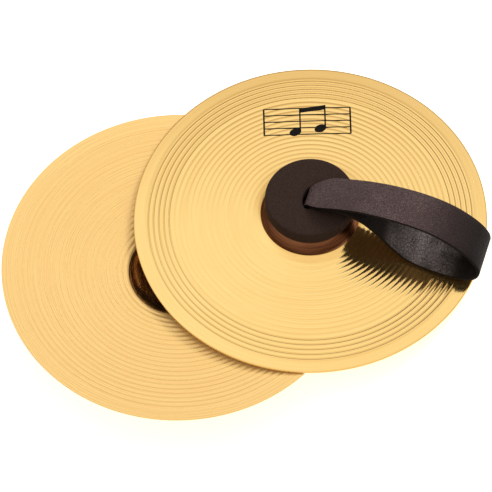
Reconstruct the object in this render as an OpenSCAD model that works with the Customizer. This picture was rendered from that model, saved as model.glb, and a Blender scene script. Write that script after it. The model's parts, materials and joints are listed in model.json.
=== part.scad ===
// A pair of hand cymbals, stacked as they lie on a table.
//
// Each cymbal is a spun plate with a foam pad on its bell and one leather strap.  The strap's
// hand loop goes down through the pad's slot and the plate's hole as a stem, and its four
// tails are tied in a square knot inside the bell.
//
// The rear cymbal lies bell down on its pad's edge and on its own strap loop.  The front one
// lies bell up over the rear one's rim, with its far rim on the table, so both rims lean
// alike.  The table is z = 0, +X runs from the rear cymbal's centre to the front one's, and
// the origin is on the table under the middle of the pair.
//
// The modules of one cymbal are drawn in its own frame: the rim plane is z = 0, the bell
// rises to +Z and the strap lies along +X.

/* [Cymbal] */
// Diameter of each plate
plate_d = 203; // [196:1:210]
// Thickness of the sheet
plate_t = 1.1; // [0.9:0.1:1.5]
// Height of the bow, from the rim up to the foot of the bell
bow_h = 5.1; // [4:0.1:7]
// Diameter of the bell at its foot
bell_d = 55.2; // [54.4:0.4:58]
// Height of the bell above its foot
bell_h = 9.9; // [9:0.1:10.6]
// Diameter of the centre hole
hole_d = 12; // [12:0.1:13]

/* [Pad] */
// Diameter of the foam pad
pad_d = 51.6; // [48:0.1:56]
// Thickness of the foam pad
pad_t = 9.2; // [8:0.1:11]
// Rounding of the pad's edges
pad_edge = 1; // [0.5:0.1:1.5]
// Width of the slot that the strap comes up through
slot_w = 8.4; // [8:0.1:10]
// Length of that slot
slot_l = 16; // [15.5:0.5:20]
// How far the slot's mouth is pressed open all round, and how deep
mouth = 1.4; // [1.2:0.1:2]

/* [Strap] */
// Width of the hand loop
strap_w = 24; // [20:1:26]
// Thickness of the leather
strap_t = 2; // [1.8:0.1:2]
// Width of the stem where it passes the plate's hole
stem_w = 10.4; // [9:0.1:10.6]
// Width of the strap in the pad's slot
neck_w = 12.4; // [12:0.1:13]
// Side of the square knot in the bell
knot_w = 19; // [17:0.5:20]
// Height of that knot
knot_h = 7.5; // [6:0.5:8]

/* [Stack] */
// Distance between the two cymbals' centres
spacing = 81; // [76:1:86]
// Turn of the front cymbal's strap from the line of the two centres
front_strap_turn = -37.5; // [-60:0.5:60]
// Gap left between the two rims
rim_gap = 0.2; // [0.1:0.1:0.4]

/* [Hidden] */
$fn = 96;
plate_r = plate_d / 2;
bell_r = bell_d / 2;
hole_r = hole_d / 2;
pad_r = pad_d / 2;
fit_gap = 0.3;        // clearance between pieces that turn or fold past each other
bow_steps = 9;
bell_steps = 16;
bell_flat = 4;        // how flat the bell's crown is
bell_flank = 0.85;    // how steep its flank is
flank_t = 0.8;        // reach of the outer flank past the inner one
plate_color = [0.86, 0.66, 0.30];
pad_color = [0.13, 0.11, 0.10];
strap_color = [0.15, 0.12, 0.12];

// The plate at radius r: a shallow bow, and a bell with a flat crown and a steep flank.
function bow_z(r) = bow_h * (plate_r * plate_r - r * r) / (plate_r * plate_r - bell_r * bell_r);
function bell_z(r, foot) = r >= foot ? 0 : bell_h * pow(1 - pow(r / foot, bell_flat), bell_flank);
function plate_z(r) = bow_z(r) + bell_z(r, bell_r);
function plate_top_z(r) = bow_z(r) + plate_t + bell_z(r, bell_r + flank_t);

// Radii from the hole to the rim, closer together towards the bell's steep foot.
function bell_radii(foot) = [for (i = [0:bell_steps]) hole_r + (foot - hole_r) * sin(90 * i / bell_steps)];
function bow_radii(foot) = [for (i = [1:bow_steps]) foot + (plate_r - foot) * i / bow_steps];
function radii(foot) = concat(bell_radii(foot), bow_radii(foot));
function reversed(p) = [for (i = [len(p) - 1:-1:0]) p[i]];

pad_z = plate_top_z(hole_r) + 0.15;
pad_top = pad_z + pad_t;
knot_top = plate_z(knot_w * 0.72) - fit_gap;

pad_foot_r = pad_r - pad_edge;   // the pad's flat face, whose edge the rear cymbal stands on

// The fold line of the strap, in the mouth of the pad's slot.
fold_z = pad_top - 0.2;
fold_r = strap_t;

// The leaning stack: the rear pad's edge and the front plate's far rim touch z = 0.
lean = atan((pad_top + rim_gap) / (spacing + plate_r - pad_foot_r));
rear_z = pad_foot_r * sin(lean) + pad_top * cos(lean);
middle_x = spacing * cos(lean) / 2;

// Side view of a hand loop as x and z of the leather's middle, from the fold line out along
// the outer run, round the far end and back along the inner run.  The rear loop is pressed
// flat by the table for its first half.
run_start = [-0.5, fold_z + 0.8];
run_end = [0.6, fold_z - 0.7];
front_outer_run = [
    run_start, [6.2, 30.6], [12, 33.8], [20, 36.5], [32, 38.9], [46, 39.7], [60, 38.7], [72, 36.2], [82, 31.9],
    [90, 26.6], [97, 19.8], [101.4, 12]];
front_inner_run = [
    [101.4, 12], [101, 6.6], [97, 3.9], [88, 3.9], [77, 5], [67, 5.8], [59, 8.2], [52, 13.4], [44.5, 20.7],
    [36, 28], [28, 31.6], [20, 33.6], [12, 32.2], [6.6, 29], run_end];
rear_outer_run = [
    run_start, [5.6, 29.2], [12, 30.6], [20, 31.9], [30, 33.6], [42, 35.6], [54, 37.6], [66, 38.9], [77, 37],
    [86, 31], [91, 22], [91.6, 12]];
rear_inner_run = [
    [91.6, 12], [89.6, 6.4], [84, 4.6], [76, 5.1], [67, 5.8], [59, 8.2], [52, 13.4], [44.5, 19.7], [36, 25.4],
    [28, 28.9], [20, 30], [12, 29.3], [6.2, 28], run_end];

// A smooth curve through points, by Catmull-Rom with its ends held.
function spline_point(a, b, c, d, t) =
    0.5 * (2 * b + (c - a) * t + (2 * a - 5 * b + 4 * c - d) * t * t + (3 * b - a - 3 * c + d) * t * t * t);
function spline(p, steps = 4) = let (last = len(p) - 1) concat(
    [for (i = [0:last - 1], k = [0:steps - 1])
        spline_point(p[max(i - 1, 0)], p[i], p[i + 1], p[min(i + 2, last)], k / steps)],
    [p[last]]);

// A band of leather: the outline of a strip of thickness t whose middle follows path.
function along(p, i) = let (d = p[min(i + 1, len(p) - 1)] - p[max(i - 1, 0)]) d / norm(d);
function beside(p, i, off) = p[i] + off * [-along(p, i).y, along(p, i).x];
function band(p, t) = concat(
    [for (i = [0:len(p) - 1]) beside(p, i, t / 2)],
    [for (i = [len(p) - 1:-1:0]) beside(p, i, -t / 2)]);

// ---- one cymbal, in its own frame ----

module plate() {
    color(plate_color)
        rotate_extrude()
            polygon(concat(
                [for (r = radii(bell_r)) [r, plate_z(r)]],
                [for (r = reversed(radii(bell_r + flank_t))) [r, plate_top_z(r)]]));
}

module slot(w, l, h) {
    for (side = [-1, 1])
        translate([0, side * (l - w) / 2, 0])
            cylinder(d = w, h = h);
    translate([-w / 2, -(l - w) / 2, 0])
        cube([w, l - w, h]);
}

module pad() {
    color(pad_color)
        difference() {
            rotate_extrude()
                polygon([
                    [0, pad_z], [pad_foot_r, pad_z], [pad_r, pad_z + pad_edge],
                    [pad_r, pad_top - pad_edge], [pad_foot_r, pad_top], [0, pad_top]]);
            translate([0, 0, pad_z - 1])
                slot(slot_w, slot_l, pad_t + 2);
            translate([0, 0, pad_top - mouth])
                slot(slot_w + 2 * mouth, slot_l + 2 * mouth, mouth + 1);
        }
}

// Two thicknesses of leather, from the knot up through the hole and the slot.
module strap_stem() {
    stem_t = 2 * strap_t;
    stem_top = fold_z - fold_r - fit_gap;
    color(strap_color) {
        translate([-stem_t / 2, -stem_w / 2, knot_top])
            cube([stem_t, stem_w, stem_top - knot_top]);
        translate([-stem_t / 2, -neck_w / 2, pad_z + 2])
            cube([stem_t, neck_w, stem_top - pad_z - 2]);
    }
}

// Four flat tails, each laid over the next round a square, with their ends pulled through.
module strap_knot() {
    strand_w = knot_w / 2 - 0.3;
    tail_l = 6;
    core_h = knot_h - strap_t;
    color(strap_color)
        translate([0, 0, knot_top - knot_h]) {
            translate([-knot_w / 2 + 1, -knot_w / 2 + 1, strap_t])
                cube([knot_w - 2, knot_w - 2, core_h]);
            for (turn = [0:90:270])
                rotate(turn) {
                    translate([0.3, -knot_w / 2, 0])
                        cube([strand_w, knot_w / 2 + 0.3, strap_t + 0.8]);
                    translate([knot_w / 2 - 1.5, 0.6, 2.6])
                        cube([tail_l, strand_w - 1.6, strap_t]);
                }
        }
}

// Plan of half the loop: narrow at the fold line, then widening out along its length.
loop_edge = [[-5, neck_w / 2], [2.8, neck_w / 2], [6.4, 8.6], [11, 10.2], [24, 10.6], [60, 11.4], [90, strap_w / 2],
    [120, strap_w / 2]];
module loop_plan() {
    polygon(concat(loop_edge, [for (i = [len(loop_edge) - 1:-1:0]) [loop_edge[i].x, -loop_edge[i].y]]));
}

module strap_loop(outer_run, inner_run) {
    color(strap_color)
        intersection() {
            translate([0, strap_w, 0])
                rotate([90, 0, 0]) {
                    linear_extrude(2 * strap_w)
                        polygon(band(spline(outer_run), strap_t));
                    linear_extrude(2 * strap_w)
                        polygon(band(spline(inner_run), strap_t));
                    translate([0, fold_z, 0])
                        cylinder(r = fold_r, h = 2 * strap_w);
                }
            translate([0, 0, -5])
                linear_extrude(60)
                    loop_plan();
        }
}

// ---- where the two cymbals lie ----

module in_stack() {
    translate([-middle_x, 0, rear_z])
        rotate([0, lean, 0])
            children();
}

module rear() {
    in_stack()
        rotate([0, 180, 0])
            children();
}

module front(turn = 0) {
    in_stack()
        translate([spacing, 0, rim_gap])
            rotate(turn)
                children();
}

rear() plate();  // rear_plate
rear() pad();  // rear_pad
rear() strap_stem();  // rear_strap_stem
rear() strap_knot();  // rear_strap_knot
rear() strap_loop(rear_outer_run, rear_inner_run);  // rear_strap_loop
front() plate();  // front_plate
front(front_strap_turn) pad();  // front_pad
front(front_strap_turn) strap_stem();  // front_strap_stem
front(front_strap_turn) strap_knot();  // front_strap_knot
front(front_strap_turn) strap_loop(front_outer_run, front_inner_run);  // front_strap_loop
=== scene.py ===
import bpy
import json
from math import atan2, cos, exp, pi, radians, sin, sqrt, tau
from mathutils import Matrix, Vector, noise


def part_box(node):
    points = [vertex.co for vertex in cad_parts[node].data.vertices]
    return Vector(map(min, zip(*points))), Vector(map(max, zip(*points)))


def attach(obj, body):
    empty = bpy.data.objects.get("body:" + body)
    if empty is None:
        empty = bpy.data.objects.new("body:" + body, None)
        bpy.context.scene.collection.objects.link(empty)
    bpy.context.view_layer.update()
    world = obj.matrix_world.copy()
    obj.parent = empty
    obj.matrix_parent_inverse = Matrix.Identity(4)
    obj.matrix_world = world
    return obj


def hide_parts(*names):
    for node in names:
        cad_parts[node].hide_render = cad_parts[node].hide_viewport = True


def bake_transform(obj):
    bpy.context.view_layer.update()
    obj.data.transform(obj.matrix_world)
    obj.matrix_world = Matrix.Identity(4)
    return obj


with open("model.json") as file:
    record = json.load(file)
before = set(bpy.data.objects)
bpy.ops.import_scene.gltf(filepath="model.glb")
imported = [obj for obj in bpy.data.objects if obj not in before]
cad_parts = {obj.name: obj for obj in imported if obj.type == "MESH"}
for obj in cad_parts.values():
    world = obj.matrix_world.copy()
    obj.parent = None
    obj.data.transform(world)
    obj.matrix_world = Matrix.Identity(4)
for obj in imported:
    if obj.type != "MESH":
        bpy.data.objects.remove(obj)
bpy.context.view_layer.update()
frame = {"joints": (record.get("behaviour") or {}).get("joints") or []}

mm = 0.001
sides = ("rear", "front")
joints = {joint["name"]: joint for joint in frame["joints"]}
print("frame loaded")


def deselectAll():
    if bpy.context.object and bpy.context.object.mode == "EDIT":
        bpy.ops.object.mode_set(mode="OBJECT")
    bpy.ops.object.select_all(action="DESELECT")


def pickOnly(piece):
    deselectAll()
    piece.select_set(True)
    bpy.context.view_layer.objects.active = piece


def cymbalPlace(side):
    # the cymbal's own frame: rim plane at z = 0, bell towards +z, strap towards +x
    up = Vector(joints[side + "_strap_turn"]["axis"]).normalized()
    across = -Vector(joints[side + "_loop_fold"]["axis"]).normalized()
    place = Matrix((across.cross(up), across, up)).transposed().to_4x4()
    place.translation = Vector(joints[side + "_strap_turn"]["pos_m"])
    return place


def settle(piece, place):
    # put the piece where it belongs and leave its object at the origin, unturned
    pickOnly(piece)
    piece.matrix_world = place @ piece.matrix_world
    bpy.ops.object.transform_apply(location=True, rotation=True, scale=True)


def smoothByAngle(piece, degrees):
    pickOnly(piece)
    bpy.ops.object.shade_smooth_by_angle(angle=radians(degrees))


def applyModifiers(piece):
    pickOnly(piece)
    for modifier in list(piece.modifiers):
        bpy.ops.object.modifier_apply(modifier=modifier.name)


def joinAll(pieces, name):
    deselectAll()
    for piece in pieces:
        piece.select_set(True)
    bpy.context.view_layer.objects.active = pieces[0]
    bpy.ops.object.join()
    joined = bpy.context.object
    joined.name = name
    return joined


def startPoint(name, x, z):
    # a plane merged down to one point, ready to be extruded into an outline
    deselectAll()
    bpy.ops.mesh.primitive_plane_add(size=mm, location=(0, 0, 0))
    piece = bpy.context.object
    piece.name = name
    bpy.ops.object.mode_set(mode="EDIT")
    bpy.ops.mesh.select_all(action="SELECT")
    bpy.ops.mesh.merge(type="CENTER")
    bpy.ops.transform.translate(value=(x * mm, 0, z * mm))
    return piece


def extrudeBy(x, y, z):
    bpy.ops.mesh.extrude_region_move(TRANSFORM_OT_translate={"value": (x * mm, y * mm, z * mm)})


def spinOutline(name, outline, steps):
    # draw a closed outline of (radius, height) point by point, then spin it round z
    piece = startPoint(name, *outline[0])
    for (x0, z0), (x1, z1) in zip(outline, outline[1:]):
        extrudeBy(x1 - x0, 0, z1 - z0)
    bpy.ops.object.mode_set(mode="OBJECT")
    for vertex in piece.data.vertices:
        vertex.select = vertex.index in (0, len(outline) - 1)
    bpy.ops.object.mode_set(mode="EDIT")
    bpy.ops.mesh.edge_face_add()
    bpy.ops.mesh.select_all(action="SELECT")
    bpy.ops.mesh.spin(steps=steps, angle=tau, center=(0, 0, 0), axis=(0, 0, 1))
    bpy.ops.mesh.select_all(action="SELECT")
    bpy.ops.mesh.remove_doubles(threshold=0.002 * mm)
    bpy.ops.mesh.normals_make_consistent(inside=False)
    bpy.ops.object.mode_set(mode="OBJECT")
    return piece


def smoothRun(points, steps):
    # a smooth line through given points, each a tuple of numbers
    line = []
    last = len(points) - 1
    for i in range(last):
        a, b = points[max(i - 1, 0)], points[i]
        c, d = points[i + 1], points[min(i + 2, last)]
        for k in range(steps):
            t = k / steps
            line.append(tuple(
                0.5 * (2 * q + (r - p) * t + (2 * p - 5 * q + 4 * r - s) * t ** 2
                       + (3 * q - p - 3 * r + s) * t ** 3)
                for p, q, r, s in zip(a, b, c, d)))
    line.append(points[last])
    return line


def extrudeStrip(name, line, cuts):
    # a flat strip whose middle follows (x, z, width, shift), drawn by extruding its end edge
    x, z, width, shift = line[0]
    piece = startPoint(name, x, z)
    bpy.ops.transform.translate(value=(0, (shift - width / 2) * mm, 0))
    for _ in range(cuts):
        extrudeBy(0, width / cuts, 0)
    bpy.ops.mesh.select_all(action="SELECT")
    for (x0, z0, w0, s0), (x1, z1, w1, s1) in zip(line, line[1:]):
        extrudeBy(x1 - x0, s1 - s0, z1 - z0)
        bpy.ops.transform.resize(value=(1, w1 / w0, 1), center_override=(x1 * mm, s1 * mm, z1 * mm))
    bpy.ops.mesh.select_all(action="SELECT")
    bpy.ops.mesh.normals_make_consistent(inside=False)
    bpy.ops.object.mode_set(mode="OBJECT")
    return piece


def newGroup(name, inputs, outputs):
    group = bpy.data.node_groups.new(name, "ShaderNodeTree")
    for label, kind, value in inputs:
        socket = group.interface.new_socket(name=label, in_out="INPUT", socket_type=kind)
        socket.default_value = value
    for label in outputs:
        group.interface.new_socket(name=label, in_out="OUTPUT", socket_type="NodeSocketFloat")
    return group, group.nodes.new("NodeGroupInput"), group.nodes.new("NodeGroupOutput")


def mathNode(tree, operation, first, second=None):
    node = tree.nodes.new("ShaderNodeMath")
    node.operation = operation
    for index, value in enumerate((first, second)):
        if value is None:
            continue
        if isinstance(value, (int, float)):
            node.inputs[index].default_value = value
        else:
            tree.links.new(value, node.inputs[index])
    return node.outputs[0]


def noiseNode(tree, vector, scale, detail=3.0, roughness=0.55, dimensions="3D"):
    node = tree.nodes.new("ShaderNodeTexNoise")
    node.noise_dimensions = dimensions
    node.inputs["Scale"].default_value = scale
    node.inputs["Detail"].default_value = detail
    node.inputs["Roughness"].default_value = roughness
    tree.links.new(vector, node.inputs["W" if dimensions == "1D" else "Vector"])
    return node.outputs["Fac"]


def mapRange(tree, value, low, high, newLow, newHigh, smooth=False):
    node = tree.nodes.new("ShaderNodeMapRange")
    if smooth:
        node.interpolation_type = "SMOOTHSTEP"
    tree.links.new(value, node.inputs["Value"])
    for label, number in (("From Min", low), ("From Max", high), ("To Min", newLow), ("To Max", newHigh)):
        node.inputs[label].default_value = number
    return node.outputs["Result"]


def colorMix(tree, factor, first, second, blend="MIX"):
    node = tree.nodes.new("ShaderNodeMix")
    node.data_type = "RGBA"
    node.blend_type = blend
    sockets = {"Factor_Float": factor, "A_Color": first, "B_Color": second}
    for socket in node.inputs:
        if socket.identifier not in sockets:
            continue
        value = sockets[socket.identifier]
        if isinstance(value, (int, float)):
            socket.default_value = value
        elif isinstance(value, tuple):
            socket.default_value = (*value, 1)
        else:
            tree.links.new(value, socket)
    return next(socket for socket in node.outputs if socket.identifier == "Result_Color")


def bumpNode(tree, height, strength, distance):
    node = tree.nodes.new("ShaderNodeBump")
    node.inputs["Strength"].default_value = strength
    node.inputs["Distance"].default_value = distance
    tree.links.new(height, node.inputs["Height"])
    return node.outputs["Normal"]


def newMaterial(name):
    material = bpy.data.materials.new(name)
    material.use_nodes = True
    tree = material.node_tree
    return material, tree, tree.nodes["Principled BSDF"]


def objectCoordinates(tree):
    return tree.nodes.new("ShaderNodeTexCoord").outputs["Object"]


def makeLatheGroup():
    # rings left by the lathe tool, counted from the cymbal's own axis
    group, given, out = newGroup(
        "latheRings",
        [("Centre", "NodeSocketVector", (0, 0, 0)), ("Rotation", "NodeSocketVector", (0, 0, 0)),
         ("Rings per metre", "NodeSocketFloat", 2600.0)],
        ["Radius", "Rings", "Streaks"])
    offset = group.nodes.new("ShaderNodeVectorMath")
    offset.operation = "SUBTRACT"
    group.links.new(objectCoordinates(group), offset.inputs[0])
    group.links.new(given.outputs["Centre"], offset.inputs[1])
    turned = group.nodes.new("ShaderNodeVectorRotate")
    turned.rotation_type = "EULER_XYZ"
    turned.invert = True
    group.links.new(offset.outputs[0], turned.inputs["Vector"])
    group.links.new(given.outputs["Rotation"], turned.inputs["Rotation"])
    parts = group.nodes.new("ShaderNodeSeparateXYZ")
    group.links.new(turned.outputs[0], parts.inputs[0])
    across, along = parts.outputs["X"], parts.outputs["Y"]
    radius = mathNode(group, "SQRT", mathNode(group, "ADD", mathNode(group, "MULTIPLY", across, across),
                                              mathNode(group, "MULTIPLY", along, along)))
    turns = mathNode(group, "MULTIPLY", radius, given.outputs["Rings per metre"])
    rings = noiseNode(group, turns, 1.0, 4.0, 0.7, "1D")
    # long streaks: noise that changes fast across the radius and slowly round it
    angle = mathNode(group, "ARCTAN2", along, across)
    wrapped = group.nodes.new("ShaderNodeCombineXYZ")
    for axis, turn in (("X", "COSINE"), ("Y", "SINE")):
        group.links.new(mathNode(group, "MULTIPLY", mathNode(group, turn, angle), 1.6), wrapped.inputs[axis])
    group.links.new(mathNode(group, "MULTIPLY", turns, 0.35), wrapped.inputs["Z"])
    streaks = noiseNode(group, wrapped.outputs[0], 1.0, 4.0, 0.65)
    for label, value in (("Radius", radius), ("Rings", rings), ("Streaks", streaks)):
        group.links.new(value, out.inputs[label])
    return group


plate = dict(
    radius=(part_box("front_plate")[1].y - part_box("front_plate")[0].y) / 2 / mm,
    bowRise=5.1, bellRadius=27.6, bellRise=8.3, flareRise=1.6, flareReach=4.0, bellFlat=4.0, bellFlank=0.85,
    bellSteps=24, flankSheet=0.8, sheet=1.1, holeRadius=6.0,
    plainRim=8.4, groovePitch=3.0, grooveCount=22, insideDepth=0.17,
    sharpGrooves=5, sharpHalf=0.5, sharpDepth=0.22, sharpRidge=0.06, ridgeWidth=0.2,
    softDepth=0.14, fadeFrom=0.15, fadeReach=22.0, footClear=0.4,
    rimInsets=(5.5, 3, 1, 0.25), rimRound=0.06, turns=216, smoothAngle=65)

brassFinish = dict(
    # each colour runs from the darker lathe lines to the lighter ones
    frontColor=((0.94, 0.63, 0.23), (1.0, 0.7, 0.27)), rearColor=((0.95, 0.62, 0.23), (0.99, 0.7, 0.27)),
    # bell colours are partly raw brass and partly painted: the front bell's dark brown is painted shade and
    # painted reflection of the pad above it, the rear's brown is raw bell brass darkened with painted shade
    # in the cup
    frontBell=((0.11, 0.035, 0.018), (0.26, 0.11, 0.05)), rearBell=((0.42, 0.21, 0.09), (0.78, 0.48, 0.21)),
    # the groove colour is painted shade that darkens the cuts of the outer grooves, on the front plate only
    grooveShadeColor=(0.3, 0.16, 0.05), frontGrooveShade=0.2, rearGrooveShade=0.0, ringsPerMetre=2600.0,
    frontRoughness=(0.08, 0.13), rearRoughness=(0.24, 0.32), bellRoughness=(0.2, 0.34),
    frontRings=0.009, rearRings=0.013, bellRings=0.013, frontMetal=0.97, rearMetal=0.3, bellMetal=0.97)


def grooveShadeMask(tree, radius, amount):
    # painted shade: the cut of each outer tone groove is darkened
    away = mathNode(tree, "SUBTRACT", (plate["radius"] - plate["plainRim"]) * mm, radius)
    count = mathNode(tree, "DIVIDE", away, plate["groovePitch"] * mm)
    near = mathNode(tree, "ABSOLUTE", mathNode(tree, "SUBTRACT", count, mathNode(tree, "ROUND", count)))
    line = mapRange(tree, near, 0.05, 0.15, amount, 0, True)
    inwards = mapRange(tree, count, 3.5, 6.5, 1, 0)
    offRim = mathNode(tree, "GREATER_THAN", count, -0.5)
    return mathNode(tree, "MULTIPLY", line, mathNode(tree, "MULTIPLY", inwards, offRim))


def makeBrass(name, side, colors, roughness, ringDepth, grooveShade, metal):
    material, tree, shader = newMaterial(name)
    place = cymbalPlace(side)
    rings = tree.nodes.new("ShaderNodeGroup")
    rings.node_tree = latheGroup
    rings.inputs["Centre"].default_value = place.translation
    rings.inputs["Rotation"].default_value = place.to_euler()
    rings.inputs["Rings per metre"].default_value = brassFinish["ringsPerMetre"]
    toned = colorMix(tree, mapRange(tree, rings.outputs["Streaks"], 0.3, 0.7, 0, 1), *colors)
    # painted shade laid into the outer groove cuts
    grooveShadeAmount = grooveShadeMask(tree, rings.outputs["Radius"], grooveShade)
    tree.links.new(colorMix(tree, grooveShadeAmount, toned, brassFinish["grooveShadeColor"]), shader.inputs["Base Color"])
    shader.inputs["Metallic"].default_value = metal
    rough = mapRange(tree, rings.outputs["Streaks"], 0.3, 0.7, *roughness)
    tree.links.new(rough, shader.inputs["Roughness"])
    tree.links.new(bumpNode(tree, rings.outputs["Rings"], 1.0, ringDepth * mm), shader.inputs["Normal"])
    return material


def makeFinishes(side):
    # the turned faces, and the bell, whose colour is raw brass with painted shade and painted reflection
    # laid on it
    b = brassFinish
    turned = makeBrass(side + "TurnedBrass", side, b[side + "Color"], b[side + "Roughness"],
                       b[side + "Rings"], b[side + "GrooveShade"], b[side + "Metal"])
    raw = makeBrass(side + "BellRawAndShaded", side, b[side + "Bell"], b["bellRoughness"], b["bellRings"], 0.0,
                    b["bellMetal"])
    return [turned, raw]


def plateHeight(r, foot):
    # a shallow bow that flares up to the foot of a bell with a flat crown and a steep flank
    p = plate
    bow = p["bowRise"] * (p["radius"] ** 2 - r * r) / (p["radius"] ** 2 - p["bellRadius"] ** 2)
    if r < foot:
        return bow + p["flareRise"] + p["bellRise"] * (1 - (r / foot) ** p["bellFlat"]) ** p["bellFlank"]
    return bow + p["flareRise"] * exp((foot - r) / p["flareReach"])


def underside(r):
    return plateHeight(r, plate["bellRadius"])


def topside(r):
    return plateHeight(r, plate["bellRadius"] + plate["flankSheet"]) + plate["sheet"]


def ringWave(points, height):
    # one ring's profile, as evenly spaced points over its pitch
    half = points // 2
    pitch = plate["groovePitch"]
    return [(pitch * k / points, height(cos(tau * k / points))) for k in range(-half, half + 1)]


def sharpGroove():
    # a cut with a raised burr on either side
    half, depth, ridge = plate["sharpHalf"], plate["sharpDepth"], plate["sharpRidge"]
    burr = half + plate["ridgeWidth"]
    return [(-1.0, 0.0), (-burr, ridge), (-half, 0.0), (-half * 0.3, -depth),
            (half * 0.3, -depth), (half, 0.0), (burr, ridge), (1.0, 0.0)]


def plateOutline():
    p = plate
    rim, hole, sheet = p["radius"], p["holeRadius"], p["sheet"]
    inner, outer = p["bellRadius"], p["bellRadius"] + p["flankSheet"]
    # closer together towards the steep foot of the bell
    spread = [sin(pi / 2 * i / p["bellSteps"]) for i in range(p["bellSteps"] + 1)]
    below = [(hole + (inner - hole) * k, underside(hole + (inner - hole) * k)) for k in spread]
    top = [(hole + (outer - hole) * k, topside(hole + (outer - hole) * k)) for k in spread]
    for i in range(p["grooveCount"]):
        centre = rim - p["plainRim"] - i * p["groovePitch"]
        # a shallow round hollow that runs into the next one, fading towards the bell
        depth = p["softDepth"] * min(1, p["fadeFrom"] + (centre - outer) / p["fadeReach"])
        soft = ringWave(7, lambda c: -depth * (0.5 + 0.5 * c) ** 2)
        for x, z in sharpGroove() if i < p["sharpGrooves"] else soft:
            if centre + x > outer + p["footClear"]:
                top.append((centre + x, topside(centre + x) + z))
        for x, z in ringWave(5, lambda c: -p["insideDepth"] * c):
            if centre + x > inner + p["footClear"]:
                below.append((centre + x, underside(centre + x) + z))
    for inset in p["rimInsets"]:
        top.append((rim - inset, topside(rim - inset)))
        below.append((rim - inset, underside(rim - inset)))
    edge = [(rim - p["rimRound"], sheet * 0.12), (rim, sheet * 0.3), (rim, sheet * 0.7),
            (rim - p["rimRound"], sheet * 0.88)]
    return sorted(below) + edge + sorted(top, reverse=True)


def makePlate(side, brass):
    piece = spinOutline(side + "Plate", plateOutline(), plate["turns"])
    for finish in brass:
        piece.data.materials.append(finish)
    bell = (plate["bellRadius"] + plate["flankSheet"]) * mm
    for face in piece.data.polygons:
        if sqrt(face.center.x ** 2 + face.center.y ** 2) < bell:
            face.material_index = 1
    smoothByAngle(piece, plate["smoothAngle"])
    settle(piece, cymbalPlace(side))
    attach(piece, side + "_cymbal")
    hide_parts(side + "_plate")


latheGroup = makeLatheGroup()
for side in sides:
    makePlate(side, makeFinishes(side))
print("plates spun")

# the print on the front plate: two beamed notes on a staff
emblem = dict(
    middle=64.0, azimuth=107.5, staffLength=50.0, staffLines=5, staffGap=4.6, lineWidth=0.62, endWidth=0.992,
    headLong=3.6, headShort=2.5, headTilt=24, headPoints=28, noteX=(-7.0, 7.5), noteY=-7.5,
    stemWidth=0.9, stemHeight=16.5, beamDepth=3.0, beamRise=2.2, ink=0.06, clear=0.03, cutPitch=2.1, cuts=12)

inkFinish = dict(darkest=(0.002, 0.002, 0.002), thin=(0.008, 0.007, 0.006), roughness=0.6, shine=0.15)


def makeInk():
    material, tree, shader = newMaterial("printInk")
    speck = noiseNode(tree, objectCoordinates(tree), 900.0, 2.0)
    tree.links.new(colorMix(tree, speck, inkFinish["darkest"], inkFinish["thin"]),
                   shader.inputs["Base Color"])
    shader.inputs["Roughness"].default_value = inkFinish["roughness"]
    shader.inputs["Specular IOR Level"].default_value = inkFinish["shine"]
    return material


def addPatch(corners):
    # a flat four-cornered patch, its corners moved to where the drawing wants them
    deselectAll()
    bpy.ops.mesh.primitive_plane_add(size=1, location=(0, 0, 0))
    patch = bpy.context.object
    for vertex, (x, y) in zip(patch.data.vertices, (corners[0], corners[1], corners[3], corners[2])):
        vertex.co = (x * mm, y * mm, 0)
    return patch


def addBar(x, y, length, width):
    return addPatch([(x - length / 2, y - width / 2), (x + length / 2, y - width / 2),
                     (x + length / 2, y + width / 2), (x - length / 2, y + width / 2)])


def addNoteHead(x, y):
    deselectAll()
    bpy.ops.mesh.primitive_circle_add(
        vertices=emblem["headPoints"], radius=emblem["headLong"] * mm, fill_type="NGON",
        location=(x * mm, y * mm, 0), rotation=(0, 0, radians(emblem["headTilt"])))
    head = bpy.context.object
    head.scale = (1, emblem["headShort"] / emblem["headLong"], 1)
    settle(head, Matrix())
    return head


def drawStaff():
    e = emblem
    height = (e["staffLines"] - 1) * e["staffGap"]
    lines = [addBar(0, i * e["staffGap"] - height / 2, e["staffLength"], e["lineWidth"])
             for i in range(e["staffLines"])]
    return lines + [addBar(end * e["staffLength"] / 2, 0, e["endWidth"], height) for end in (-1, 1)]


def drawNotes():
    e = emblem
    drawn, tops = [], []
    for i, x in enumerate(e["noteX"]):
        y = e["noteY"] + i * e["beamRise"]
        drawn.append(addNoteHead(x, y))
        stemX = x + e["headLong"] - e["stemWidth"] * 0.8
        drawn.append(addBar(stemX, y + e["stemHeight"] / 2, e["stemWidth"], e["stemHeight"]))
        tops.append((stemX, y + e["stemHeight"]))
    half, deep = e["stemWidth"] / 2, e["beamDepth"]
    (x0, y0), (x1, y1) = tops
    drawn.append(addPatch([(x0 - half, y0 - deep), (x1 + half, y1 - deep),
                           (x1 + half, y1), (x0 - half, y0)]))
    return drawn


def cutForBow():
    # cut the drawing into short lengths so that it can follow the bow
    bpy.ops.object.mode_set(mode="EDIT")
    for i in range(-emblem["cuts"], emblem["cuts"] + 1):
        place = i * emblem["cutPitch"] * mm
        bpy.ops.mesh.select_all(action="SELECT")
        bpy.ops.mesh.bisect(plane_co=(place, 0, 0), plane_no=(1, 0, 0))
        bpy.ops.mesh.select_all(action="SELECT")
        bpy.ops.mesh.bisect(plane_co=(0, place, 0), plane_no=(0, 1, 0))
    bpy.ops.object.mode_set(mode="OBJECT")


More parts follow.
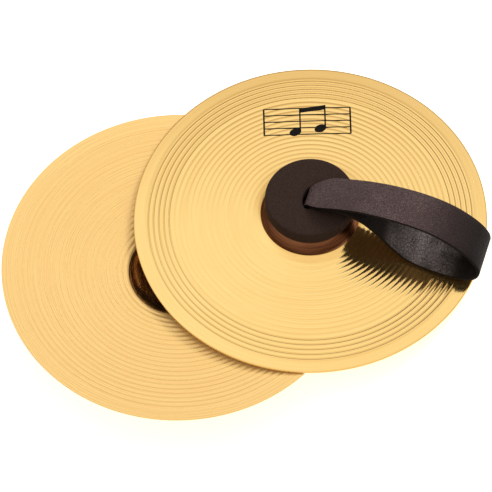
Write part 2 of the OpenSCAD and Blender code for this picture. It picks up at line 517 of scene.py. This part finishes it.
def makeEmblem(ink):
    e = emblem
    piece = joinAll(drawStaff() + drawNotes(), "frontEmblem")
    cutForBow()
    settle(piece, Matrix.Rotation(radians(e["azimuth"]), 4, "Z")
           @ Matrix.Translation((e["middle"] * mm, 0, 0)) @ Matrix.Rotation(-pi / 2, 4, "Z"))
    for vertex in piece.data.vertices:
        r = sqrt(vertex.co.x ** 2 + vertex.co.y ** 2) / mm
        vertex.co.z = (topside(r) + e["clear"] + e["ink"]) * mm
    piece.data.materials.append(ink)
    layer = piece.modifiers.new("ink", "SOLIDIFY")
    layer.thickness = e["ink"] * mm
    layer.offset = -1
    applyModifiers(piece)
    settle(piece, cymbalPlace("front"))
    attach(piece, "front_cymbal")


makeEmblem(makeInk())
print("emblem printed")

pad = dict(
    radius=(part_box("rear_pad")[1].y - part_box("rear_pad")[0].y) / 2 / mm, bottom=16.62, top=25.82,
    edge=1.2, lip=0.3, sideFlat=3.2, faceSteps=12, holeLength=7.4, holeWidth=4.1, mouthDip=0.9,
    mouthReach=7.0, pinchReach=15.0, uneven=0.16, unevenScale=110, turns=96, smoothAngle=60, fill=0.9)

feltFinish = dict(
    color=(0.024, 0.0135, 0.011), fibre=(0.062, 0.039, 0.032), fibresPerMetre=1900.0, nap=0.2,
    roughness=0.9, shine=0.18)


def makeFelt():
    material, tree, shader = newMaterial("blackFelt")
    fibres = noiseNode(tree, objectCoordinates(tree), feltFinish["fibresPerMetre"], 4.0, 0.75)
    tree.links.new(colorMix(tree, mapRange(tree, fibres, 0.42, 0.72, 0, 1), feltFinish["color"],
                            feltFinish["fibre"]), shader.inputs["Base Color"])
    shader.inputs["Roughness"].default_value = feltFinish["roughness"]
    shader.inputs["Specular IOR Level"].default_value = feltFinish["shine"]
    tree.links.new(bumpNode(tree, fibres, 0.6, feltFinish["nap"] * mm), shader.inputs["Normal"])
    return material


def padOutline():
    p = pad
    rim, edge, hole, bottom, top = p["radius"], p["edge"], p["holeLength"], p["bottom"], p["top"]
    line = [(hole, bottom + p["lip"]), (hole + 0.5, bottom)]
    line += [(hole + (rim - edge - hole) * i / 8, bottom) for i in range(1, 9)]
    line += [(rim - edge + edge * sin(a), bottom + edge - edge * cos(a)) for a in (pi / 6, pi / 3, pi / 2)]
    line += [(rim, bottom + p["sideFlat"]), (rim, (bottom + top) / 2), (rim, top - p["sideFlat"])]
    line += [(rim - edge + edge * cos(a), top - edge + edge * sin(a)) for a in (0, pi / 6, pi / 3, pi / 2)]
    for i in reversed(range(p["faceSteps"])):
        # the top face dips where the strap presses the mouth open
        r = hole + 0.4 + (rim - edge - 0.8 - hole) * (i / p["faceSteps"]) ** 1.3
        dip = p["mouthDip"] * max(0, 1 - (r - hole) / p["mouthReach"]) ** 2
        line.append((r, top - dip))
    return line + [(hole, top - p["mouthDip"] - 0.7), (hole, (bottom + top) / 2)]


def makePad(side, felt):
    p = pad
    piece = spinOutline(side + "Pad", padOutline(), p["turns"])
    for vertex in piece.data.vertices:
        # the round hole is pinched into a slot that lies across the strap
        r = sqrt(vertex.co.x ** 2 + vertex.co.y ** 2) / mm
        pinch = max(0.0, min(1.0, (p["pinchReach"] - r) / (p["pinchReach"] - p["holeLength"])))
        pinch = pinch * pinch * (3 - 2 * pinch)
        vertex.co.x *= 1 - pinch * (1 - p["holeWidth"] / p["holeLength"])
        if vertex.co.z > p["bottom"] * mm * 1.05:
            vertex.co.z += p["uneven"] * mm * noise.noise(vertex.co * p["unevenScale"])
    piece.data.materials.append(felt)
    smoothByAngle(piece, p["smoothAngle"])
    settle(piece, cymbalPlace(side))
    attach(piece, side + "_strap_swivel")
    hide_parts(side + "_pad")


felt = makeFelt()
for side in sides:
    makePad(side, felt)
print("pads made")


def makeLeatherGroup():
    # pebbled grain with creases, and pale flecks where the dye is thin
    group, given, out = newGroup(
        "leatherGrain", [("Pebbles per metre", "NodeSocketFloat", 1100.0)],
        ["Height", "Flecks", "Clouds", "Creases"])
    spot = objectCoordinates(group)
    pebbles = group.nodes.new("ShaderNodeTexVoronoi")
    pebbles.feature = "SMOOTH_F1"
    group.links.new(spot, pebbles.inputs["Vector"])
    group.links.new(given.outputs["Pebbles per metre"], pebbles.inputs["Scale"])
    cracks = group.nodes.new("ShaderNodeTexVoronoi")
    cracks.feature = "DISTANCE_TO_EDGE"
    cracks.inputs["Scale"].default_value = 480.0
    group.links.new(spot, cracks.inputs["Vector"])
    creases = mapRange(group, cracks.outputs["Distance"], 0.0, 0.12, 0, 1, True)
    rough = mathNode(group, "ADD", mathNode(group, "MULTIPLY", pebbles.outputs["Distance"], 0.6),
                     mathNode(group, "MULTIPLY", noiseNode(group, spot, 2300.0, 3.0, 0.7), 0.7))
    height = mathNode(group, "ADD", rough, mathNode(group, "MULTIPLY", creases, 0.25))
    flecks = mapRange(group, noiseNode(group, spot, 1500.0, 4.0, 0.8), 0.4, 0.68, 0, 1, True)
    clouds = noiseNode(group, spot, 45.0, 3.0, 0.6)
    for label, value in (("Height", height), ("Flecks", flecks), ("Clouds", clouds), ("Creases", creases)):
        group.links.new(value, out.inputs[label])
    return group


# base dye, fleck, the colour painted where the mask is full (painted shade towards the far end of the
# outside and edge, painted light on the middle of the inside), and how much the flecks break that up
leatherFinish = dict(
    strapOutside=dict(base=(0.05, 0.032, 0.033), fleck=(0.26, 0.2, 0.21), fleckAmount=0.6, roughness=0.55,
                      grain=0.3, creaseShade=0.1, mask="farEndShade", paintedLightShade=(0.004, 0.002, 0.002), breakUp=0.0),
    strapInside=dict(base=(0.011, 0.0075, 0.007), fleck=(0.011, 0.0075, 0.007), fleckAmount=0.5,
                     roughness=0.75, grain=0.6, creaseShade=0.6, mask="insideLight", paintedLightShade=(0.5, 0.44, 0.46),
                     breakUp=0.7),
    strapEdge=dict(base=(0.003, 0.002, 0.002), fleck=(0.05, 0.032, 0.033), fleckAmount=0.3, roughness=0.7,
                   grain=0.2, creaseShade=0.0, mask="farEndShade", paintedLightShade=(0.003, 0.002, 0.002), breakUp=0.0))

leatherShared = dict(
    creaseColor=(0.003, 0.002, 0.002), shine=0.14, lessRough=0.06, moreRough=0.08, keepBase=0.05)


def makeLeather(name, look):
    shared = leatherShared
    material, tree, shader = newMaterial(name)
    grain = tree.nodes.new("ShaderNodeGroup")
    grain.node_tree = leatherGroup
    clouds = grain.outputs["Clouds"]
    amount = mathNode(tree, "MULTIPLY", grain.outputs["Flecks"], mapRange(
        tree, clouds, 0.35, 0.65, 0.45 * look["fleckAmount"], look["fleckAmount"]))
    flecked = colorMix(tree, amount, look["base"], look["fleck"])
    # painted light and shade: the mask darkens the far end of the outside and edge and lightens the middle
    # of the inside
    lightShadeMask = tree.nodes.new("ShaderNodeAttribute")
    lightShadeMask.attribute_name = look["mask"]
    spread = mathNode(tree, "MULTIPLY", lightShadeMask.outputs["Fac"],
                      mapRange(tree, grain.outputs["Flecks"], 0, 1, 1 - look["breakUp"], 1))
    paintedLightShade = colorMix(tree, spread, flecked, colorMix(tree, shared["keepBase"], look["paintedLightShade"], flecked))
    creased = mathNode(tree, "MULTIPLY", mathNode(tree, "SUBTRACT", 1.0, grain.outputs["Creases"]),
                       look["creaseShade"])
    tree.links.new(colorMix(tree, creased, paintedLightShade, shared["creaseColor"]), shader.inputs["Base Color"])
    tree.links.new(mapRange(tree, clouds, 0.3, 0.7, look["roughness"] - shared["lessRough"],
                            look["roughness"] + shared["moreRough"]), shader.inputs["Roughness"])
    shader.inputs["Specular IOR Level"].default_value = shared["shine"]
    tree.links.new(bumpNode(tree, grain.outputs["Height"], 0.7, look["grain"] * mm), shader.inputs["Normal"])
    return material


# runs of the strap as x, z, width, shift to the side
strap = dict(
    thickness=2.1, cuts=6, steps=4, edgeRound=0.35, bendBefore=1.2, bendAfter=5.0, smoothAngle=40,
    # from the knot up through the hole
    rise=[(-1.05, 11.7, 9.8, 0), (-1.05, 15, 10, 0), (-1.1, 19.5, 10.6, 0), (-1.0, 23.4, 12, 0),
          (0.1, 26.3, 13, 0)],
    frontRise=[(3, 28.7, 16.2, 0), (7, 31.2, 19.2, 0), (12, 34, 20.8, 0)],
    rearRise=[(3, 28.4, 16.2, 0), (7, 29.6, 19.2, 0), (12, 30.6, 20.8, 0)],
    frontLoop=[
        (20, 36.5, 21, 0), (32, 39.2, 21.4, 0), (46, 40.2, 22.3, 0), (60, 39.4, 22.8, 0),
        (72, 36.9, 23.2, 0), (82, 32.6, 23.8, 0), (90.6, 27.2, 24.2, -0.3), (98.2, 21, 24.4, -1),
        (103, 14.6, 24.6, -2.2), (103, 9.6, 24.6, -4), (98.6, 6.6, 24.4, -5.6),
        (88, 5.4, 24, -6), (77, 5.2, 23.6, -5.4), (67, 5.8, 23, -4.4), (59, 8.2, 22.6, -3.4),
        (52, 13.4, 22.2, -2.4), (44.5, 20.7, 21.8, -1.3), (36, 28, 21.4, -0.5),
        (28, 31.6, 21, 0), (20, 33.7, 21, 0)],
    rearLoop=[
        (20, 32.0, 21, 0), (30, 33.6, 21.4, 0), (42, 35.6, 22, 0), (54, 37.5, 22.6, 0),
        (66, 38.8, 23, 0), (77, 37, 23.4, 0), (86, 31, 24, 0), (91, 22, 24, 0),
        (91.6, 12, 24, 0), (89.6, 6.4, 24, 0), (84, 4.6, 24, 0), (76, 5.1, 23.6, 0),
        (67, 5.8, 23, 0), (59, 8.2, 22.6, 0), (52, 13.4, 22.2, 0), (44.5, 19.7, 21.8, 0),
        (36, 25.4, 21.4, 0), (28, 28.9, 21, 0), (20, 30.1, 21, 0)],
    frontFall=[(12, 32.2, 20.8, 0), (6.9, 29.4, 19, 0), (3.4, 27.0, 16, 0)],
    rearFall=[(12, 29.0, 20.8, 0), (6.9, 27.9, 19, 0), (3.4, 26.5, 16, 0)],
    # back down to the knot
    fall=[(1.5, 24.6, 13, 0), (1.05, 22, 11.6, 0), (1.05, 18.5, 10.4, 0), (1.05, 15, 10, 0),
          (1.05, 11.7, 9.8, 0)])

# where along the strap painted shade darkens its far end and where painted light makes its inside pale
strapLightShade = dict(
    shadeFrom=66.0, shadeTo=98.0, shadePower=0.8, lightMiddle=68.5, lightHalf=22.95, lightAmount=0.7,
    patchBase=0.75, patchDepth=0.8, patchScale=0.13, patchSeed=7)


def strapLine(side):
    s = strap
    run = s["rise"] + s[side + "Rise"] + s[side + "Loop"] + s[side + "Fall"] + s["fall"]
    return smoothRun(run, s["steps"])


def thicken(piece, thickness, leathers):
    for leather in leathers:
        piece.data.materials.append(leather)
    wall = piece.modifiers.new("wall", "SOLIDIFY")
    wall.thickness = thickness * mm
    wall.offset = 0
    wall.use_even_offset = True
    wall.material_offset = 1
    wall.material_offset_rim = 2
    edge = piece.modifiers.new("edge", "BEVEL")
    edge.width = strap["edgeRound"] * mm
    edge.segments = 2
    edge.limit_method = "ANGLE"
    edge.angle_limit = radians(60)
    applyModifiers(piece)


def markPaintedLight(piece):
    # masks along the strap, kept on the piece for the leather to read: painted shade towards the far end,
    # painted light on the middle of the inside
    w = strapLightShade
    farEndShade = piece.data.attributes.new("farEndShade", "FLOAT", "POINT")
    insideLight = piece.data.attributes.new("insideLight", "FLOAT", "POINT")
    for vertex in piece.data.vertices:
        x, y = vertex.co.x / mm, vertex.co.y / mm
        farShade = max(0.0, min(1.0, (x - w["shadeFrom"]) / (w["shadeTo"] - w["shadeFrom"])))
        farEndShade.data[vertex.index].value = farShade ** w["shadePower"]
        insideLightBump = max(0.0, 1 - ((x - w["lightMiddle"]) / w["lightHalf"]) ** 2)
        patch = noise.noise(Vector((x, y, w["patchSeed"])) * w["patchScale"])
        patchy = max(0.0, w["patchBase"] + w["patchDepth"] * patch)
        insideLight.data[vertex.index].value = insideLightBump * patchy * w["lightAmount"]


def makeStrap(side, leathers):
    piece = extrudeStrip(side + "Strap", strapLine(side), strap["cuts"])
    thicken(piece, strap["thickness"], leathers)
    markPaintedLight(piece)
    smoothByAngle(piece, strap["smoothAngle"])
    place = cymbalPlace(side)
    settle(piece, place)
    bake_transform(piece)
    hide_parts(side + "_strap_stem", side + "_strap_loop")


leatherGroup = makeLeatherGroup()
leathers = [makeLeather(name, look) for name, look in leatherFinish.items()]
for side in sides:
    makeStrap(side, leathers)
print("straps made")

# one tail of the square knot as x, z, width, shift; four of them are laid round the square
knot = dict(
    tail=[(-8.6, 11.8, 7.6, 4.6), (-4.8, 11.6, 8, 4.6), (-0.6, 10.4, 8, 4.6), (3.6, 8.7, 8, 4.6),
          (7.4, 8.6, 7.8, 4.6), (9.3, 10, 7.4, 4.6), (10.4, 11.6, 7, 4.6), (12, 12.4, 6.6, 4.6),
          (13.9, 12.3, 6, 4.6)],
    tails=4, thickness=1.9, cuts=4, steps=4)


def makeKnot(side, leathers):
    tails = []
    for turn in range(knot["tails"]):
        tail = extrudeStrip(f"{side}Tail{turn}", smoothRun(knot["tail"], knot["steps"]), knot["cuts"])
        thicken(tail, knot["thickness"], leathers)
        settle(tail, Matrix.Rotation(turn * tau / knot["tails"], 4, "Z"))
        tails.append(tail)
    piece = joinAll(tails, side + "Knot")
    smoothByAngle(piece, strap["smoothAngle"])
    settle(piece, cymbalPlace(side))
    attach(piece, side + "_strap_swivel")
    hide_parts(side + "_strap_knot")


for side in sides:
    makeKnot(side, leathers)
print("knots tied")

studio = dict(
    floorSize=6.0, floorColor=0.96, floorRoughness=0.9, floorGlow=0.6, skyStrength=1.03,
    # the sky by height: position, brightness and how blue it is
    sky=((0.0, 0.16, 0.5), (0.3, 0.36, 0.66), (0.6, 0.78, 0.86), (0.8, 1.02, 0.98), (1.0, 1.1, 1.0)),
    softboxY=0.47, softboxHalf=(0.08, 0.4), softboxSides=(0.86, 0.8, 0.7),
    keyPlace=(1.1, 0.5, 0.95), keySize=0.45, keyPower=10.0,
    cameraAway=4.0, lens=511.6, tilt=30.75, roll=-1.61, spin=19.95, aim=(0.0385, 0.0110))


def makeFloor():
    deselectAll()
    bpy.ops.mesh.primitive_plane_add(size=studio["floorSize"])
    floor = bpy.context.object
    floor.name = "studioFloor"
    material, tree, shader = newMaterial("paperWhite")
    shader.inputs["Base Color"].default_value = (*[studio["floorColor"]] * 3, 1)
    shader.inputs["Roughness"].default_value = studio["floorRoughness"]
    shader.inputs["Emission Color"].default_value = (1, 1, 1, 1)
    shader.inputs["Emission Strength"].default_value = studio["floorGlow"]
    floor.data.materials.append(material)


def makeSky():
    world = bpy.data.worlds.new("softbox")
    bpy.context.scene.world = world
    world.use_nodes = True
    tree = world.node_tree
    parts = tree.nodes.new("ShaderNodeSeparateXYZ")
    tree.links.new(tree.nodes.new("ShaderNodeTexCoord").outputs["Generated"], parts.inputs[0])
    ramp = tree.nodes.new("ShaderNodeValToRGB")
    tree.links.new(parts.outputs["Z"], ramp.inputs["Fac"])
    while len(ramp.color_ramp.elements) < len(studio["sky"]):
        ramp.color_ramp.elements.new(0.5)
    for element, (position, value, blue) in zip(ramp.color_ramp.elements, studio["sky"]):
        element.position = position
        element.color = (value, value * (1 + blue) / 2, value * blue, 1)
    # a long softbox across the back: its sides are a little darker and warmer
    side = mathNode(tree, "ABSOLUTE", mathNode(tree, "SUBTRACT", parts.outputs["Y"], studio["softboxY"]))
    falloff = mapRange(tree, side, *studio["softboxHalf"], 0, 1, True)
    shaded = colorMix(tree, 1.0, ramp.outputs["Color"], studio["softboxSides"], "MULTIPLY")
    back = tree.nodes["Background"]
    tree.links.new(colorMix(tree, falloff, ramp.outputs["Color"], shaded), back.inputs["Color"])
    back.inputs["Strength"].default_value = studio["skyStrength"]


def makeKeyLight():
    deselectAll()
    bpy.ops.object.light_add(type="AREA", location=studio["keyPlace"])
    light = bpy.context.object
    light.name = "keyLight"
    light.data.size = studio["keySize"]
    light.data.energy = studio["keyPower"]
    light.visible_glossy = False  # its mirror image would be a burnt-out spot on the bell
    light.rotation_euler = (-Vector(studio["keyPlace"])).to_track_quat("-Z", "Y").to_euler()


def makeCamera():
    # looks down on the rims' shared plane, turned and tilted from the plane's normal
    axis = joints["front_strap_turn"]["axis"]
    turned = (Matrix.Rotation(atan2(axis[0], axis[2]), 4, "Y")
              @ Matrix.Rotation(-radians(studio["spin"]), 4, "Z")
              @ Matrix.Rotation(radians(studio["tilt"]), 4, "X")
              @ Matrix.Rotation(radians(studio["roll"]), 4, "Z"))
    camera = bpy.data.objects.new("camera", bpy.data.cameras.new("camera"))
    bpy.context.scene.collection.objects.link(camera)
    camera.data.lens = studio["lens"]
    camera.data.clip_end = 50
    camera.matrix_world = (Matrix.Translation(joints["rear_strap_turn"]["pos_m"]) @ turned
                           @ Matrix.Translation((*studio["aim"], studio["cameraAway"])))
    bpy.context.scene.camera = camera


makeFloor()
makeSky()
makeKeyLight()
makeCamera()
bpy.context.scene.view_settings.view_transform = "Standard"
print("studio ready")
